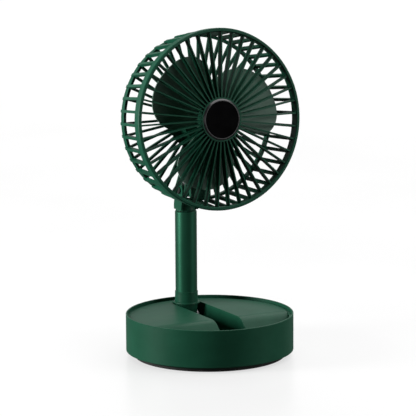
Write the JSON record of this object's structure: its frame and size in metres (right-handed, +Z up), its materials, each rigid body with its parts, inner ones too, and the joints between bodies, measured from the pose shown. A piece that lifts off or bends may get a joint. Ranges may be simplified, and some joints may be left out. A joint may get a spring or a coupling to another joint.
{
  "type": "folding telescopic table fan",
  "caption": "Folding telescopic rechargeable table fan: a caged head on a hinged pole that folds down into a channel in the round base.",
  "frame": {"origin": "on the ground, at the middle of the round base from front to back, in the plane of symmetry of the pole and the head (8.5 mm beside the base's axis)", "axes": "+Z up, the fan blows towards -Y, +X to the right of someone who faces the fan"},
  "size_m": [0.2057, 0.19, 0.372],
  "materials": {
    "green_plastic": "fine matt texture, dark green",
    "green_metal": "satin dark green paint",
    "blade_plastic": "matt grey-green",
    "black_gloss": "gloss black",
    "black_rubber": "matt",
    "steel": "zinc plated",
    "nylon": "black nylon",
    "board": "circuit board",
    "cell_wrap": "shrink wrap",
    "copper": "enamelled copper wire",
    "magnet": "sintered magnet",
    "light_pipe": "frosted clear"
  },
  "bodies": {
    "base": {"base_shell": "green_plastic", "base_deck": "green_plastic", "base_bottom": "green_plastic", "foot_ring": "black_rubber", "bottom_screws": "steel", "ballast_plate": "steel", "battery_tray": "nylon", "battery_cells": "cell_wrap", "control_board": "board", "usb_inlet": "steel", "button_switch": "nylon", "charge_lights": "light_pipe", "pole_bracket": "steel", "bracket_screws": "steel", "pole_pin": "steel"},
    "button": {"speed_button": "green_plastic"},
    "pole": {"pole_knuckle": "green_plastic", "knuckle_washers": "steel", "pole_flange": "green_plastic", "pole_collar": "green_plastic", "outer_tube": "green_metal", "outer_tube_bush": "nylon"},
    "second_section": {"second_tube": "green_metal", "second_tube_glide": "nylon", "second_tube_bush": "nylon"},
    "third_section": {"third_tube": "green_metal", "third_tube_glide": "nylon", "third_tube_bush": "nylon"},
    "top_section": {"top_tube": "green_metal", "top_tube_glide": "nylon", "neck": "green_plastic", "head_pin": "steel"},
    "hinge": {"hinge_barrel": "steel"},
    "head": {"head_bracket": "green_plastic", "bracket_head_screws": "steel", "rear_grille": "green_plastic", "front_grille": "green_plastic", "cap_bezel": "black_gloss", "front_cap": "black_gloss", "rear_cover": "green_plastic", "grille_screws": "steel", "motor_housing": "green_plastic", "motor_stator": "steel", "motor_coils": "copper", "motor_board": "board", "motor_bearings": "steel"},
    "rotor": {"motor_shaft": "steel", "rotor_magnet": "magnet", "fan_blades": "blade_plastic", "blade_nut": "blade_plastic"}
  },
  "joints": [
    {"name": "pole_fold", "type": "hinge", "parent": "base", "child": "pole", "pos_m": [0, 0.0725, 0.027], "axis": [1, 0, 0], "range_deg": [0, 90]},
    {"name": "second_slide", "type": "slide", "parent": "pole", "child": "second_section", "axis": [0, 0, -1], "range_m": [-0.07, 0]},
    {"name": "third_slide", "type": "slide", "parent": "second_section", "child": "third_section", "axis": [0, 0, -1], "range_m": [-0.07, 0]},
    {"name": "top_slide", "type": "slide", "parent": "third_section", "child": "top_section", "axis": [0, 0, -1], "range_m": [-0.07, 0]},
    {"name": "head_fold", "type": "hinge", "parent": "top_section", "child": "hinge", "pos_m": [0, 0.0675, 0.179], "axis": [1, 0, 0], "range_deg": [-175, 0]},
    {"name": "head_tilt", "type": "hinge", "parent": "hinge", "child": "head", "pos_m": [0, 0.0675, 0.179], "axis": [1, 0, 0], "range_deg": [-90, 5]},
    {"name": "blade_spin", "type": "hinge", "parent": "head", "child": "rotor", "pos_m": [0, -0.01225, 0.2702], "axis": [0, -0.9962, 0.0872], "continuous": true},
    {"name": "speed_press", "type": "slide", "parent": "base", "child": "button", "axis": [-0.5736, -0.8192, 0], "range_m": [0, 0.0012], "stiffness_N_per_m": 500, "springref_m": -0.001}
  ],
  "couplings": [
    {"joint": "head_fold", "follows": "pole_fold", "ratio": -1.9444}
  ]
}
